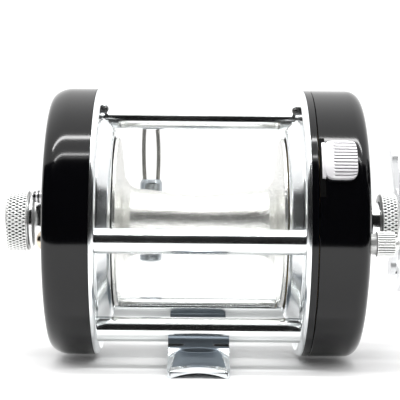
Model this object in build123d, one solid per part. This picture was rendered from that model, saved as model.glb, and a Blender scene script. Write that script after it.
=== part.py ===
"""Round level-wind trolling reel, an assembly of separate pieces. Millimetres.

+X runs along the spool axis to the handle side, +Y points away from the angler and +Z is up.
Every piece is modelled about the spool axis, then lifted so that z = 0 is the surface that the
reel foot stands on. A name ending in _x is a distance from the spool's middle plane.
"""
import math
import os

from build123d import *

# ---- Overall sizes ----
plate_radius = 33.0        # side plates and frame discs
disc_x = 25.4              # outer face of a frame disc's rim
axis_height = 34.2         # spool axis above the surface that the foot stands on
left_plate_depth = 10.9    # click-side cover
right_plate_depth = 13.7   # gear-side cover with its ring

# ---- Clearances ----
running_gap = 0.05         # radial gap of a shaft in its bearing
seat_gap = 0.02            # radial gap between two pieces that are fixed to each other

# ---- Frame discs ----
rim_width = 1.5
rim_wall = 1.6
web_thickness = 1.0
web_outer_radius = 31.1
dish_root_radius = 25.3
dish_ridge_radius = 25.9
dish_ridge_x = 24.2
dish_lip_radius = 22.6
dish_lip_x = 21.0
dish_bore_radius = 21.5
web_x = disc_x
web_back_x = web_x + web_thickness

# ---- Pillars: (y, z) of each centre line, and diameters ----
rear_pillar_at = (-29.2, -3.0)
lower_rear_at = (-16.0, -24.9)
lower_front_at = (17.5, -23.3)
top_pillar_at = (14.0, 26.0)
rear_pillar_diameter = 5.9
front_pillar_diameter = 5.4
spigot_radius = 1.6
frame_screw_at = (2.0, 28.1)
frame_screw_radius = 1.0
frame_screw_length = 2.4

# ---- Reel foot ----
foot_length = 62.0
foot_width = 14.4
foot_tip_width = 12.8
foot_tip_thickness = 1.45
foot_arch_rise = 1.0
foot_saddle_height = 2.2   # how far the saddle reaches up beside a pillar
rivet_radius = 1.2
foot_deck_wall = 1.4       # thickness of the raised middle
foot_rivet_x = foot_width / 4 - 0.4

# ---- Covers ----
cover_wall = 1.6
left_plate_bore = 7.0
left_corner_x = 5.1
left_corner_r = 3.2
right_corner = 3.3
right_ring_width = 1.65
left_face_x = disc_x + left_plate_depth
right_face_x = disc_x + right_plate_depth

# ---- Left boss, bearing cap and screws ----
left_boss_radius = 11.0
left_boss_rim_x = 38.6
left_neck_radius = 6.6
left_neck_x = 40.7
cap_thread_radius = 5.6
left_cap_x = 42.2
left_cap_knurl_length = 5.4
cap_radius = 7.55
cap_dome = 0.8
cover_screw_circle = 20.3
cover_screw_radius = 2.3
cover_screw_shank = 1.2
cover_screw_height = 2.1
cover_screw_angle = -10.2  # above the rear horizontal

# ---- Right hub, bearing cap and thumb-screws ----
right_hub_radius = 12.5
right_hub_top_radius = 6.6
right_hub_x = 42.6
right_neck_radius = 5.4
right_boss_radius = 4.6
right_cap_x = 44.8
right_cap_knurl_length = 4.3
thumb_screw_circle = 26.0
thumb_screw_angle = -7.6
thumb_screw_radius = 2.95
thumb_screw_head_x = (40.8, 45.0)
thumb_screw_boss_x = 46.0
low_screw_head_x = 41.7    # the two other take-apart screws have low slotted heads
low_screw_radius = 2.4
thumb_screw_shank = 1.3

# ---- Spool ----
spool_flange_radius = 21.0
flange_outer_x = 20.9
flange_rim = 1.1
flange_cone_radius = 11.0
flange_cone_x = 18.7
arbor_end_radius = 8.4
arbor_mid_radius = 6.7
spool_hub_radius = 5.0
spool_hub_x = 25.6
shaft_radius = 1.5
bush_radius = 3.2
shaft_left_x = 46.0
shaft_right_x = 47.0
brake_x = 24.3
brake_pin_radius = 0.6
click_wheel_radius = 6.0
click_wheel_teeth = 24
click_wheel_x = (30.0, 31.2)

# ---- Gears ----
gear_module = 0.6
pressure_angle = 25.0
tooth_backlash = 0.12
main_teeth = 45
pinion_teeth = 11
worm_drive_teeth = 25
worm_gear_teeth = 11
drive_z = 2.0
worm_z = -0.9
main_gear_x = (31.6, 33.1)
worm_drive_x = (28.3, 29.9)
ratchet_x = (30.2, 31.0)
ratchet_radius = 8.0
ratchet_teeth = 12

# ---- Clutch ----
pinion_x = (28.3, 29.9, 33.2, 34.3, 34.9)  # slot end, teeth, groove, end flange, end
cross_pin_radius = 0.6
cross_pin_x = 29.0
yoke_x = (33.35, 34.15)
yoke_travel = 1.4
yoke_post_at = (-4.6, 9.2)
yoke_post_radius = 0.9
dog_post_radius = 1.0
button_travel = 6.0        # degrees about the spool axis
button_x = (27.55, 36.3)
button_angles = (20.5, 38.0)
button_thickness = 1.1
button_gap = 0.25
tab_thickness = 0.8

# ---- Drive stack, star wheel and handle ----
drive_radius = 2.5
drive_bush_radius = 4.0
drive_spigot_radius = 1.5
bridge_x = (26.8, 28.0)
bridge_radius = 28.8
drag_washer_radius = 9.0
drive_end_x = 64.0
star_radius = 17.4
star_arms = 5
star_arm_angle = 72.6
star_tip_x = 50.2
star_hub_x = (51.6, 54.8)
star_hub_radius = 6.5
arm_x = (58.2, 60.7)
arm_angle = -25.4
arm_reach = 45.0
arm_width_end = 11.0
arm_width_hub = 14.0
knob_post_radius = 2.0
knob_x = (61.4, 84.0)
knob_radius = 8.2

# ---- Level wind ----
shield_radius = 3.5
shield_bore = 2.75
worm_radius = 2.4
worm_end_radius = 1.5
worm_bush_radius = 2.3
worm_pitch = 6.0
worm_groove = 0.5
carriage_rest_x = -12.9
carriage_half_travel = 17.4
carriage_post_radius = 3.0
carriage_boss_radius = 4.9
carriage_top_z = 10.2
carriage_bottom_z = -10.5
pawl_radius = 1.2
wire_radius = 0.55
wire_spread = 1.78
wire_top = 28.2
wire_lean = 10.0           # how far the loop leans back towards the top pillar

# ---- Click button ----
click_at = (-13.0, 6.4)
click_travel = 3.0
click_radius = 1.75
click_height = 3.7
click_stem_radius = 1.1

# ---- Values worked out from the sizes above ----
mesh_main = gear_module * (main_teeth + pinion_teeth) / 2
mesh_worm = gear_module * (worm_drive_teeth + worm_gear_teeth) / 2
drive_y = math.sqrt(mesh_main ** 2 - drive_z ** 2)
worm_y = drive_y + math.sqrt(mesh_worm ** 2 - (worm_z - drive_z) ** 2)
drive_at = (drive_y, drive_z)
worm_at = (worm_y, worm_z)
foot_deck_z = min(
    lower_rear_at[1] - rear_pillar_diameter / 2, lower_front_at[1] - front_pillar_diameter / 2
) - 0.6
cover_bore_radius = plate_radius - cover_wall
left_inner_x = left_face_x - cover_wall
right_inner_x = right_face_x - cover_wall
ring_end_x = disc_x + right_ring_width


def rod(radius, start, end, at=(0.0, 0.0)):
    """Solid cylinder along X from start to end, centred at (y, z)."""
    stock = Cylinder(radius, end - start, align=(Align.CENTER, Align.CENTER, Align.MIN))
    return Pos(start, at[0], at[1]) * Rot(0, 90, 0) * stock


def tube(outer, inner, start, end, at=(0.0, 0.0)):
    """Hollow cylinder along X."""
    return rod(outer, start, end, at) - rod(inner, start - 1, end + 1, at)


def post(radius, low, high, at):
    """Solid cylinder along Z from low to high, centred at (x, y)."""
    stock = Cylinder(radius, high - low, align=(Align.CENTER, Align.CENTER, Align.MIN))
    return Pos(at[0], at[1], low) * stock


def block(low, high):
    """Box between two corners."""
    size = [high[i] - low[i] for i in range(3)]
    return Pos(*low) * Box(*size, align=(Align.MIN, Align.MIN, Align.MIN))


def turned(points, at=(0.0, 0.0)):
    """Solid of revolution about the X line through (y, z), from (x, radius) points."""
    face = make_face(Polyline(*points, close=True))
    return Pos(0, at[0], at[1]) * revolve(face, Axis.X, 360)


def dome(radius, height, start, at=(0.0, 0.0), side=1):
    """Shallow dome whose flat face is at start and whose crown points along side * X."""
    ball_radius = (radius ** 2 + height ** 2) / (2 * height)
    centre_x = start - side * (ball_radius - height)
    half_turn = math.asin(radius / ball_radius) / 2
    middle = (centre_x + side * ball_radius * math.cos(half_turn), ball_radius * math.sin(half_turn))
    crown = (start + side * height, 0)
    outline = [
        Line((start, 0), (start, radius)),
        ThreePointArc((start, radius), middle, crown),
        Line(crown, (start, 0)),
    ]
    return Pos(0, at[0], at[1]) * revolve(make_face(outline), Axis.X, 360)


def around(radius, angle):
    """(y, z) at a radius from the spool axis, angle in degrees above the rear horizontal."""
    turn = math.radians(angle)
    return (-radius * math.cos(turn), radius * math.sin(turn))


def left(shape):
    """The same shape on the click side."""
    return mirror(shape, about=Plane.YZ)


def group(shapes):
    """Separate solids kept together in one node."""
    return Compound(children=[solid for shape in shapes for solid in shape.solids()])


def sector(inner, outer, start, end, angles):
    """Part of a tube about the spool axis between two angles above the rear horizontal."""
    reach = 2 * outer
    first, last = (around(reach, angle) for angle in angles)
    wedge = make_face(Polyline((0, 0), first, last, close=True))
    prism = Pos(start, 0, 0) * extrude(Plane.YZ * wedge, end - start)
    return tube(outer, inner, start, end) & prism


def involute(angle):
    return math.tan(angle) - angle


def gear_points(teeth, addendum=0.95, dedendum=1.25):
    """Outline of a spur gear with involute flanks, tooth 0 centred on the first axis."""
    pitch = gear_module * teeth / 2
    slope = math.radians(pressure_angle)
    base = pitch * math.cos(slope)
    root = pitch - dedendum * gear_module
    tip = pitch + addendum * gear_module
    half_pitch_angle = math.pi / (2 * teeth) - tooth_backlash / (4 * pitch)

    def half_angle(radius):
        shadow = math.acos(min(1.0, base / radius))
        return half_pitch_angle + involute(slope) - involute(shadow)

    foot = max(base, root)
    steps = [foot + (tip - foot) * i / 4 for i in range(5)]
    flank = [(radius, half_angle(radius)) for radius in steps]
    if root < base:
        flank.insert(0, (root, half_angle(base)))
    points = []
    for tooth in range(teeth):
        centre = 2 * math.pi * tooth / teeth
        for radius, half in flank:
            points.append((radius * math.cos(centre - half), radius * math.sin(centre - half)))
        for radius, half in reversed(flank):
            points.append((radius * math.cos(centre + half), radius * math.sin(centre + half)))
    return points


def gear(teeth, ends, at, turn):
    """Spur gear along X, turned so that tooth 0 points at an angle from +Y towards +Z."""
    face = make_face(Polyline(*gear_points(teeth), close=True))
    solid = extrude(Plane.YZ * face, ends[1] - ends[0])
    return Pos(ends[0], at[0], at[1]) * Rot(turn, 0, 0) * solid


def ratchet(teeth, radius, depth, ends, at):
    """Toothed wheel with one steep flank per tooth."""
    points = []
    for tooth in range(teeth):
        start = 2 * math.pi * tooth / teeth
        steep = start + 2 * math.pi * 0.85 / teeth
        points.append(((radius - depth) * math.cos(start), (radius - depth) * math.sin(start)))
        points.append((radius * math.cos(steep), radius * math.sin(steep)))
    face = make_face(Polyline(*points, close=True))
    return Pos(ends[0], at[0], at[1]) * extrude(Plane.YZ * face, ends[1] - ends[0])


# ---- Frame ----
pillar_centres = {
    "rear": (rear_pillar_at, rear_pillar_diameter / 2),
    "lower_rear": (lower_rear_at, rear_pillar_diameter / 2),
    "lower_front": (lower_front_at, front_pillar_diameter / 2),
    "top": (top_pillar_at, front_pillar_diameter / 2),
}
thumb_screw_centres = [around(thumb_screw_circle, thumb_screw_angle + 120 * i) for i in range(3)]
cover_screw_centres = [around(cover_screw_circle, cover_screw_angle + 120 * i) for i in range(3)]


def frame_disc():
    """Rim, recessed web and inward dish of the gear-side disc."""
    rim_inner = plate_radius - rim_wall
    disc = turned([
        (disc_x - rim_width, plate_radius),
        (disc_x, plate_radius),
        (disc_x, web_outer_radius),
        (web_back_x, web_outer_radius),
        (web_back_x, dish_root_radius - 1.0),
        (dish_lip_x + 1.2, dish_bore_radius),
        (dish_lip_x, dish_bore_radius),
        (dish_lip_x, dish_lip_radius),
        (dish_lip_x + 0.5, dish_lip_radius + 0.9),
        (dish_ridge_x, dish_ridge_radius),
        (web_x, dish_root_radius),
        (web_x, rim_inner - 0.9),
        (disc_x - rim_width, rim_inner),
    ])
    for centre, radius in pillar_centres.values():
        disc -= rod(radius + seat_gap, dish_lip_x, web_x, centre)
        disc -= rod(spigot_radius + seat_gap, dish_lip_x, web_back_x + 1, centre)
    disc -= rod(shield_radius + seat_gap, dish_lip_x - 2, web_back_x + 1, worm_at)
    disc -= rod(frame_screw_radius + seat_gap, dish_lip_x, web_x, frame_screw_at)
    disc -= rod(frame_screw_radius * 0.5 + seat_gap, web_x - 1, web_back_x + 1, frame_screw_at)
    return disc


def right_disc():
    disc = frame_disc()
    for centre in thumb_screw_centres:
        disc -= rod(thumb_screw_shank + running_gap, dish_lip_x, web_back_x + 1, centre)
    return disc


def pillar(centre, radius):
    """Round bar between the webs with a riveted spigot at each end."""
    edge = 0.25
    bar = turned([
        (-web_back_x, 0), (-web_back_x, spigot_radius), (-web_x, spigot_radius),
        (-web_x, radius - edge), (-web_x + edge, radius), (web_x - edge, radius),
        (web_x, radius - edge), (web_x, spigot_radius), (web_back_x, spigot_radius),
        (web_back_x, 0),
    ], centre)
    return bar


def frame_screws():
    """A round-headed screw inside each disc, near the top."""
    neck = rod(frame_screw_radius * 0.5, web_x - 0.6, web_back_x, frame_screw_at)
    head = dome(frame_screw_radius, 0.9, web_x - frame_screw_length + 0.9, frame_screw_at, -1)
    barrel = rod(frame_screw_radius, web_x - frame_screw_length + 0.9, web_x, frame_screw_at)
    screw = neck + barrel + head
    return group([screw, left(screw)])


def worm_shield():
    """Tube round the worm with a slot along its underside for the pawl."""
    body = tube(shield_radius, shield_bore, -web_back_x, web_back_x, worm_at)
    slot_half = pawl_radius + 0.2
    slot_x = carriage_half_travel + slot_half + 0.4
    slot = block(
        (-slot_x, worm_y - slot_half, worm_z - 2 * shield_radius),
        (slot_x, worm_y + slot_half, worm_z),
    )
    return body - slot


def reel_foot():
    """Stamped foot: low tips, a raised middle under the lower pillars and an arched underside."""
    bottom = -axis_height
    half = foot_length / 2
    rear_y, rear_z = lower_rear_at
    front_y, front_z = lower_front_at
    rear_r = rear_pillar_diameter / 2
    front_r = front_pillar_diameter / 2
    rear_top = rear_z - rear_r + foot_saddle_height
    front_top = front_z - front_r + foot_saddle_height
    deck = foot_deck_z
    tip_top = bottom + foot_tip_thickness
    outline = Polyline(
        (-half, bottom),
        (-half, tip_top),
        (-half + 3.4, tip_top + 0.9),
        (rear_y - rear_r - 3.4, deck - 0.6),
        (rear_y - rear_r - 0.8, rear_top - 1.4),
        (rear_y - rear_r + 0.6, rear_top),
        (rear_y + rear_r - 0.6, rear_top),
        (rear_y + rear_r + 1.2, deck),
        (front_y - front_r - 1.2, deck),
        (front_y - front_r + 0.6, front_top),
        (front_y + front_r - 0.6, front_top),
        (front_y + front_r + 0.8, front_top - 1.4),
        (front_y + front_r + 3.4, deck - 0.6),
        (half - 3.4, tip_top + 0.9),
        (half, tip_top),
        (half, bottom),
        close=True,
    )
    face = Plane.YZ * make_face(outline)
    foot = Pos(-foot_width / 2, 0, 0) * extrude(face, foot_width)
    # plan view: the tips are a little narrower than the middle
    taper = (foot_width - foot_tip_width) / 2
    plan = make_face(Polyline(
        (-foot_tip_width / 2, -half - 1), (-foot_tip_width / 2 - taper * 0.4, -half + 1.2),
        (-foot_width / 2, -half + 7), (-foot_width / 2, half - 7),
        (-foot_tip_width / 2 - taper * 0.4, half - 1.2), (-foot_tip_width / 2, half + 1),
        (foot_tip_width / 2, half + 1), (foot_tip_width / 2 + taper * 0.4, half - 1.2),
        (foot_width / 2, half - 7), (foot_width / 2, -half + 7),
        (foot_tip_width / 2 + taper * 0.4, -half + 1.2), (foot_tip_width / 2, -half - 1),
        close=True,
    ))
    foot &= Pos(0, 0, bottom - 1) * extrude(plan, axis_height)
    # sloping side facets along the top edges of both tips
    for side in (-1, 1):
        for end in (-1, 1):
            cutter = Pos(side * (foot_width / 2), end * (half - 4), tip_top + 3.4)
            cutter *= Rot(0, side * 34, 0)
            foot -= cutter * Box(5.0, 26.0, 3.4)
    # arched underside along the whole length
    arch_half = foot_width / 2 - 0.7
    arch_radius = (arch_half ** 2 + foot_arch_rise ** 2) / (2 * foot_arch_rise)
    drum = Pos(0, 0, bottom + foot_arch_rise - arch_radius) * Rot(90, 0, 0)
    foot -= drum * Cylinder(arch_radius, foot_length + 2)
    # hollow under the raised middle, and the seats of the two pillars
    hollow_y = rear_y - rear_r
    foot -= block(
        (-foot_width / 2 + 1.5, hollow_y, bottom - 1),
        (foot_width / 2 - 1.5, front_y + front_r, deck - foot_deck_wall),
    )
    for (centre, radius) in ((lower_rear_at, rear_r), (lower_front_at, front_r)):
        foot -= rod(radius + seat_gap, -foot_width, foot_width, centre)
    for centre in (lower_rear_at, lower_front_at):
        for x in (-foot_rivet_x, foot_rivet_x):
            foot -= post(rivet_radius + seat_gap, bottom - 1, centre[1], (x, centre[0]))
    return foot


def foot_rivets():
    """Rivets from under the foot's deck into the lower pillars."""
    rivets = []
    for key in ("lower_rear", "lower_front"):
        centre, radius = pillar_centres[key]
        deck_under = foot_deck_z - foot_deck_wall
        for x in (-foot_rivet_x, foot_rivet_x):
            shank = post(rivet_radius, deck_under, centre[1] - radius + 0.9, (x, centre[0]))
            head = post(rivet_radius + 0.7, deck_under - 0.8, deck_under, (x, centre[0]))
            rivets.append(shank + head)
    return group(rivets)


def riveted(bar, centre):
    """Lower pillar with the blind holes of the foot rivets."""
    for x in (-foot_rivet_x, foot_rivet_x):
        bar -= post(rivet_radius + seat_gap, centre[1] - 5, centre[1] - 0.4, (x, centre[0]))
    return bar


# ---- Covers ----
def cover(open_x, face_x, corner_x, corner_r, bore):
    """Round cup, open towards the frame, with a rounded outer corner."""
    turn_x = face_x - corner_x
    flat_r = plate_radius - corner_r
    outer_arc = EllipticalCenterArc((turn_x, flat_r), corner_x, corner_r, start_angle=0, arc_size=90)
    inner_x = corner_x - cover_wall
    inner_r = max(corner_r - cover_wall, 0.6)
    inner_arc = EllipticalCenterArc((turn_x, flat_r), inner_x, inner_r, start_angle=0, arc_size=90)
    inner_edge = flat_r + inner_r
    lines = [
        Line((face_x, bore), (face_x, flat_r)),
        outer_arc,
        Line((turn_x, plate_radius), (open_x, plate_radius)),
        Line((open_x, plate_radius), (open_x, inner_edge)),
        Line((open_x, inner_edge), (turn_x, inner_edge)),
        inner_arc,
        Line((face_x - cover_wall, flat_r), (face_x - cover_wall, bore)),
        Line((face_x - cover_wall, bore), (face_x, bore)),
    ]
    return revolve(make_face(lines), Axis.X, 360)


def left_side_plate():
    plate = cover(disc_x, left_face_x, left_corner_x, left_corner_r, left_plate_bore)
    for centre in cover_screw_centres:
        plate -= rod(cover_screw_shank + seat_gap, left_inner_x - 1, left_face_x + 1, centre)
    plate -= click_slot()
    return left(plate)


def click_direction():
    length = math.hypot(*click_at)
    return (click_at[0] / length, click_at[1] / length)


def click_slot():
    """Slot in the click-side face that the button's stem slides along."""
    outward = click_direction()
    width = click_stem_radius + 0.15
    ends = [
        (click_at[0] + outward[0] * step, click_at[1] + outward[1] * step)
        for step in (-0.1, click_travel + 0.1)
    ]
    middle = [(ends[0][i] + ends[1][i]) / 2 for i in range(2)]
    turn = math.degrees(math.atan2(outward[1], outward[0]))
    span = click_travel + 0.2
    bar = Box(2 * cover_wall + 2, span, 2 * width)
    slot = Pos((left_inner_x + left_face_x) / 2, middle[0], middle[1]) * Rot(turn, 0, 0) * bar
    for end in ends:
        slot += rod(width, left_inner_x - 1, left_face_x + 1, end)
    return slot


def left_boss():
    """Chrome hub with a flared foot, an inner flange and the thread for the bearing cap."""
    bore = bush_radius + seat_gap
    shape = turned([
        (left_inner_x - 1.2, bore), (left_inner_x - 1.2, 8.5), (left_inner_x, 8.5),
        (left_inner_x, left_plate_bore - seat_gap), (left_face_x, left_plate_bore - seat_gap),
        (left_face_x, left_boss_radius), (left_boss_rim_x, left_boss_radius - 0.7),
        (left_boss_rim_x + 0.5, left_boss_radius - 1.7),
        (left_neck_x - 0.5, left_neck_radius + 0.6), (left_neck_x, left_neck_radius),
        (left_cap_x - 0.2, left_neck_radius), (left_cap_x - 0.2, cap_thread_radius),
        (left_cap_x + 4.2, cap_thread_radius), (left_cap_x + 4.2, bore),
    ])
    return left(shape)


def bearing_cap(start, knurl_length):
    """Round cap with a domed end, hollow over the hub's thread."""
    cavity = cap_thread_radius + running_gap
    end = start + knurl_length
    shape = turned([
        (start, cavity), (start, cap_radius - 0.3), (start + 0.3, cap_radius),
        (end - 0.3, cap_radius), (end, cap_radius - 0.3), (end, cap_radius - 0.7),
        (end + cap_dome * 0.6, cap_radius - 1.6), (end + cap_dome, cap_radius - 4.0),
        (end + cap_dome, 0), (end - 0.5, 0), (end - 0.5, cavity),
    ])
    return shape


def cover_screws():
    screws = []
    for centre in cover_screw_centres:
        shank = rod(cover_screw_shank, left_inner_x - 1.0, left_face_x, centre)
        head = dome(cover_screw_radius, cover_screw_height, left_face_x, centre)
        slit = Pos(left_face_x + cover_screw_height, *centre) * Rot(45, 0, 0)
        screws.append(left(shank + head - slit * Box(0.9, 2 * cover_screw_radius, 0.6)))
    return group(screws)


def click_pivot_plate():
    """Spring plate behind the click-side face, held by the cover screws' ends."""
    plate = tube(22.4, 18.8, left_inner_x - 1.0, left_inner_x - 0.05)
    for centre in cover_screw_centres:
        plate -= rod(cover_screw_shank + seat_gap, left_inner_x - 2, left_inner_x + 1, centre)
    return left(plate)


def right_ring():
    return tube(plate_radius, web_outer_radius + 0.15, disc_x, ring_end_x)


def right_side_plate():
    plate = cover(ring_end_x, right_face_x, right_corner, right_corner, 0.1)
    hub = turned([
        (right_face_x - cover_wall, 0), (right_face_x - cover_wall, right_hub_radius),
        (right_face_x, right_hub_radius), (right_face_x + 1.2, right_hub_radius - 3.2),
        (right_hub_x - 0.6, right_hub_top_radius + 0.5), (right_hub_x, right_hub_top_radius),
        (right_hub_x, 0),
    ])
    plate += hub
    plate -= rod(right_boss_radius + seat_gap, right_inner_x - 1, right_hub_x + 1)
    plate -= rod(drive_bush_radius + seat_gap, right_inner_x - 1, right_hub_x + 1, drive_at)
    for centre in thumb_screw_centres:
        plate -= rod(thumb_screw_shank + running_gap, right_inner_x - 1, right_face_x + 1, centre)
    plate -= sector(
        cover_bore_radius - 1.2, plate_radius + 1, ring_end_x - 1,
        button_x[0] + tab_thickness + 0.12,
        (button_angles[0] - button_travel - 1.5, button_angles[1] + 1.5),
    )
    return plate


def right_boss():
    """Chrome hub through the gear-side face with the thread for the bearing cap."""
    bore = bush_radius + seat_gap
    return turned([
        (right_inner_x - 1.0, bore), (right_inner_x - 1.0, 6.4), (right_inner_x, 6.4),
        (right_inner_x, right_boss_radius), (right_hub_x, right_boss_radius),
        (right_hub_x, right_neck_radius), (right_cap_x - 0.2, right_neck_radius),
        (right_cap_x - 0.2, cap_thread_radius - 0.4), (right_cap_x + 3.4, cap_thread_radius - 0.4),
        (right_cap_x + 3.4, bore),
    ])


def shaft_bushes():
    """Bearings of the spool shaft in the two hubs and in the gear bridge."""
    spans = [
        (-left_cap_x - 3.6, -left_inner_x + 1.2),
        bridge_x,
        (right_inner_x - 1.0, right_cap_x + 3.0),
    ]
    return group([tube(bush_radius, shaft_radius + running_gap, *span) for span in spans])


def thumb_screw(centre):
    """Knurled take-apart screw with a collar, a small end boss and a long shank."""
    head_start, head_end = thumb_screw_head_x
    edge = 0.25
    return turned([
        (web_x + 0.1, 0), (web_x + 0.1, thumb_screw_shank),
        (right_face_x + 0.1, thumb_screw_shank),
        (right_face_x + 0.1, thumb_screw_radius - 0.7),
        (head_start - 0.1, thumb_screw_radius - 0.35),
        (head_start, thumb_screw_radius - edge), (head_start + edge, thumb_screw_radius),
        (head_end - edge, thumb_screw_radius), (head_end, thumb_screw_radius - edge),
        (head_end, 1.6), (thumb_screw_boss_x - 0.3, 1.6), (thumb_screw_boss_x, 1.2),
        (thumb_screw_boss_x, 0),
    ], centre)


def low_screw(centre):
    """Take-apart screw with a low slotted head."""
    slot = Pos(low_screw_head_x, centre[0], centre[1]) * Box(1.2, 2 * low_screw_radius, 0.6)
    return turned([
        (web_x + 0.1, 0), (web_x + 0.1, thumb_screw_shank), (right_face_x + 0.1, thumb_screw_shank),
        (right_face_x + 0.1, low_screw_radius), (low_screw_head_x - 0.5, low_screw_radius),
        (low_screw_head_x, low_screw_radius - 0.5), (low_screw_head_x, 0),
    ], centre) - slot


def gear_bridge():
    """Plate behind the gear-side disc that carries the gears, posts and dog."""
    start, end = bridge_x
    plate = rod(bridge_radius, start, end)
    plate -= rod(bush_radius + seat_gap, start - 1, end + 1)
    plate -= rod(drive_spigot_radius + running_gap, start - 1, end + 1, drive_at)
    plate -= rod(worm_bush_radius + seat_gap, start - 1, end + 1, worm_at)
    for centre in thumb_screw_centres:
        plate -= rod(thumb_screw_shank + 0.2, start - 1, end + 1, centre)
    for centre in bridge_screw_centres():
        plate -= rod(0.9 + seat_gap, start - 1, end + 1, centre)
    return plate


def bridge_screw_centres():
    return [around(23.0, angle) for angle in (50.0, -60.0, 150.0)]


def bridge_screws():
    screws = []
    for centre in bridge_screw_centres():
        shank = rod(0.9, bridge_x[0], bridge_x[1], centre)
        screws.append(shank + rod(1.5, bridge_x[1], bridge_x[1] + 0.25, centre))
    return group(screws)


def bridge_posts():
    """Two guide posts of the clutch yoke and the pivot post of the ratchet dog."""
    y, z = yoke_post_at
    posts = [rod(yoke_post_radius, bridge_x[1], right_inner_x, (y, side * z)) for side in (-1, 1)]
    posts.append(rod(dog_post_radius, bridge_x[1], ratchet_x[1] + 0.5, dog_post_centre()))
    return group(posts)


def yoke_springs():
    """Coil springs on the posts that push the yoke back towards the gear bridge."""
    y, z = yoke_post_at
    wire = 0.16
    end_room = wire + 0.06
    start = yoke_x[1] + end_room
    length = right_inner_x - end_room - start
    coil = Helix(pitch=length / 5, height=length, radius=yoke_post_radius + 0.35)
    section = Plane(origin=coil @ 0, z_dir=coil % 0) * Circle(wire)
    spring = Rot(0, 90, 0) * sweep(section, path=coil, is_frenet=True)
    return group([Pos(start, y, side * z) * spring for side in (-1, 1)])


def brake_ring():
    """Smooth ring on the gear bridge that the centrifugal brake blocks rub."""
    return tube(14.5, 13.4, spool_hub_x - 2.2, bridge_x[0])


# ---- Spool ----
def spool():
    """Double-tapered arbor and two cone-faced flanges in one piece, with end hubs."""
    hub_bore = shaft_radius + seat_gap
    half = [
        (0, arbor_mid_radius), (flange_cone_x - 2.5, arbor_end_radius),
        (flange_cone_x, flange_cone_radius), (flange_outer_x - flange_rim, spool_flange_radius - 0.4),
        (flange_outer_x - flange_rim + 0.3, spool_flange_radius),
        (flange_outer_x, spool_flange_radius), (flange_outer_x, spool_flange_radius - 1.4),
        (flange_outer_x - 0.4, spool_flange_radius - 2.2), (flange_outer_x - 1.3, 12.0),
        (flange_outer_x, spool_hub_radius + 2.5), (spool_hub_x, spool_hub_radius),
    ]
    points = half + [(spool_hub_x, hub_bore), (-spool_hub_x, hub_bore)]
    points += [(-x, radius) for x, radius in reversed(half[1:])]
    cross_hole = post(brake_pin_radius + seat_gap, -flange_cone_radius, flange_cone_radius, (brake_x, 0))
    return turned(points) - cross_hole


def spool_shaft():
    shaft = rod(shaft_radius, -shaft_left_x, shaft_right_x)
    return shaft - post(cross_pin_radius + seat_gap, -5, 5, (cross_pin_x, 0))


def shaft_pin():
    return post(cross_pin_radius, -2.6, 2.6, (cross_pin_x, 0))


def click_wheel():
    start, end = click_wheel_x
    wheel = ratchet(click_wheel_teeth, click_wheel_radius, 0.7, (-end, -start), (0, 0))
    sleeve = rod(3.2, -start, -spool_hub_x)
    return wheel + sleeve - rod(shaft_radius + seat_gap, -end - 1, -spool_hub_x + 1)


def brake_blocks():
    """Two blocks that fly out along a cross bar on the spool's end."""
    blocks = []
    for side in (-1, 1):
        pin_ends = sorted((side * (spool_hub_radius - 0.3), side * 13.0))
        pin = post(brake_pin_radius, *pin_ends, (brake_x, 0))
        block_ends = sorted((side * 9.6, side * 12.6))
        blocks.append(pin + post(1.2, *block_ends, (brake_x, 0)))
    return group(blocks)


# ---- Drive ----
mesh_turn = math.degrees(math.atan2(-drive_z, -drive_y))
worm_turn = math.degrees(math.atan2(worm_z - drive_z, worm_y - drive_y))


def drive_shaft():
    """Shaft with a spigot in the gear bridge, a stop collar and flats for the handle."""
    flats = drive_radius - 0.5
    shaft = turned([
        (bridge_x[0] + 0.1, 0), (bridge_x[0] + 0.1, drive_spigot_radius),
        (bridge_x[1] + 0.1, drive_spigot_radius), (bridge_x[1] + 0.1, drive_radius),
        (drive_end_x, drive_radius), (drive_end_x, 0),
    ], drive_at)
    for side in (-1, 1):
        low = drive_z + (flats if side > 0 else -drive_radius - 1)
        high = drive_z + (drive_radius + 1 if side > 0 else -flats)
        shaft -= block((arm_x[0] - 0.6, drive_y - 5, low), (arm_x[1], drive_y + 5, high))
    return shaft


def on_drive(shape, ends):
    """Bore a piece that is fixed on the drive shaft."""
    return shape - rod(drive_radius + seat_gap, ends[0] - 2, ends[1] + 2, drive_at)


def main_gear():
    wheel = gear(main_teeth, main_gear_x, drive_at, mesh_turn)
    hub = rod(4.2, ratchet_x[1], main_gear_x[0], drive_at)
    wheel = on_drive(wheel + hub, main_gear_x)
    for i in range(5):
        spot = math.radians(mesh_turn + 36 + 72 * i)
        centre = (drive_y + 11.0 * math.cos(spot), drive_z + 11.0 * math.sin(spot))
        wheel -= rod(1.3, main_gear_x[0] - 1, main_gear_x[1] + 1, centre)
    return wheel


def worm_drive_gear():
    return on_drive(gear(worm_drive_teeth, worm_drive_x, drive_at, worm_turn), worm_drive_x)


def ratchet_wheel():
    wheel = ratchet(ratchet_teeth, ratchet_radius, 1.1, ratchet_x, drive_at)
    collar = rod(3.6, worm_drive_x[1], ratchet_x[0], drive_at)
    return on_drive(wheel + collar, ratchet_x)


def drag_washers():
    """Stack of friction and metal washers on the outer face of the main gear."""
    washers = []
    start = main_gear_x[1]
    for thickness, radius in ((0.5, 9.0), (0.4, 8.6), (0.5, 9.0)):
        ends = (start, start + thickness)
        washers.append(on_drive(rod(radius, *ends, drive_at), ends))
        start = start + thickness
    return group(washers)


def pressure_disc():
    start = main_gear_x[1] + 1.4
    shape = rod(drag_washer_radius - 0.6, start, start + 0.8, drive_at)
    shape += rod(4.4, start + 0.8, start + 1.4, drive_at)
    return on_drive(shape, (start, start + 1.4))


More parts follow.
